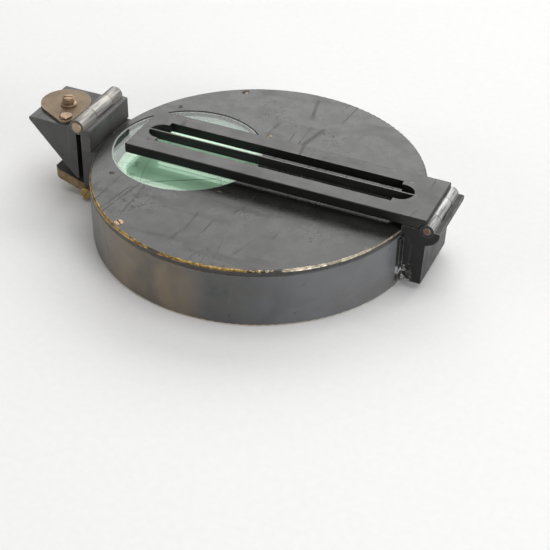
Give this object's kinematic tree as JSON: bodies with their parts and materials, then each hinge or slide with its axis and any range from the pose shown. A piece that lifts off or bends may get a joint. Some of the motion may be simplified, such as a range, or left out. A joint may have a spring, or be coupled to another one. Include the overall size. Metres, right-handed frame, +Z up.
{
  "type": "prismatic surveying compass",
  "caption": "Round closed-case prismatic compass for bearings and geology, with a lid window, a folding slotted sight vane and a folding prism on a focusing slide.",
  "frame": {"origin": "centre of the case's flat base", "axes": "+Z up out of the base through the lid; +X from the prism towards the vane hinge, along the folded vane"},
  "size_m": [0.1542, 0.115, 0.0324],
  "materials": {
    "black_paint": "worn satin black lacquer on brass",
    "vane_paint": "worn satin black lacquer on brass",
    "slide_paint": "black lacquer rubbed to grey metal",
    "box_paint": "satin black lacquer",
    "brass": "aged, satin",
    "steel": "fine brushed",
    "spring_steel": "blued",
    "card": "white printed dial",
    "window_glass": "polished, faint green",
    "prism_glass": "polished"
  },
  "bodies": {
    "case": {"case_body": "black_paint", "top_plate": "black_paint", "lid_screws": "brass", "window_glass": "window_glass", "window_retainer": "black_paint", "window_screws": "brass", "pivot_post": "brass", "pivot_needle": "steel", "lever_stand": "brass", "lever_pin": "steel", "lifter_spring": "spring_steel", "spring_screw": "brass", "vane_bracket": "black_paint", "bracket_screws": "brass", "bracket_side_screw": "brass", "vane_hinge_pin": "brass", "prism_guide": "black_paint", "guide_screws": "brass", "slide_screw": "brass"},
    "vane": {"sight_vane": "vane_paint", "sight_blade": "steel", "vane_pins": "brass"},
    "lift_pin": {"lift_pin": "brass"},
    "lever": {"lifter_lever": "brass"},
    "collar": {"lift_collar": "brass"},
    "card": {"compass_card": "card", "needle_magnet": "steel", "jewel_cap": "brass"},
    "brake": {"brake_button": "brass", "brake_arm": "spring_steel"},
    "slide": {"focus_slide": "slide_paint", "prism_hinge_pin": "brass"},
    "prism": {"prism_box": "box_paint", "prism_back_plate": "box_paint", "prism_side_screws": "brass", "prism": "prism_glass", "cover_screw": "brass"},
    "cover": {"cover_plate": "brass", "cover_knob": "brass"}
  },
  "joints": [
    {"name": "vane_fold", "type": "hinge", "parent": "case", "child": "vane", "pos_m": [0.0646, 0, 0.0236], "axis": [0, 1, 0], "range_deg": [0, 90]},
    {"name": "lift_pin_rise", "type": "slide", "parent": "case", "child": "lift_pin", "axis": [0, 0, 1], "range_m": [0, 0.0011]},
    {"name": "lever_rock", "type": "hinge", "parent": "case", "child": "lever", "pos_m": [0.02174, 0.00338, 0.0075], "axis": [0.1535, -0.9881, 0], "range_deg": [0, 2.14]},
    {"name": "collar_drop", "type": "slide", "parent": "case", "child": "collar", "axis": [0, 0, 1], "range_m": [-0.0008, 0]},
    {"name": "card_spin", "type": "hinge", "parent": "collar", "child": "card", "pos_m": [0, 0, 0.0155], "axis": [0, 0, 1], "continuous": true},
    {"name": "brake_press", "type": "slide", "parent": "case", "child": "brake", "axis": [-0.8829, -0.4695, 0], "range_m": [0, 0.0009], "stiffness_N_per_m": 600},
    {"name": "prism_focus", "type": "slide", "parent": "case", "child": "slide", "axis": [0, 0, 1], "range_m": [0, 0.005]},
    {"name": "prism_fold", "type": "hinge", "parent": "slide", "child": "prism", "pos_m": [-0.0632, 0, 0.0294], "axis": [0, 1, 0], "range_deg": [0, 180]},
    {"name": "cover_swing", "type": "hinge", "parent": "prism", "child": "cover", "pos_m": [-0.0706, -0.0084, 0.0287], "axis": [0, 0, 1], "range_deg": [0, 110]}
  ],
  "couplings": [
    {"joint": "lift_pin_rise", "follows": "vane_fold", "m_per_rad": 0.00069392},
    {"joint": "lever_rock", "follows": "vane_fold", "ratio": 0.023265},
    {"joint": "collar_drop", "follows": "vane_fold", "m_per_rad": -0.00050293}
  ]
}
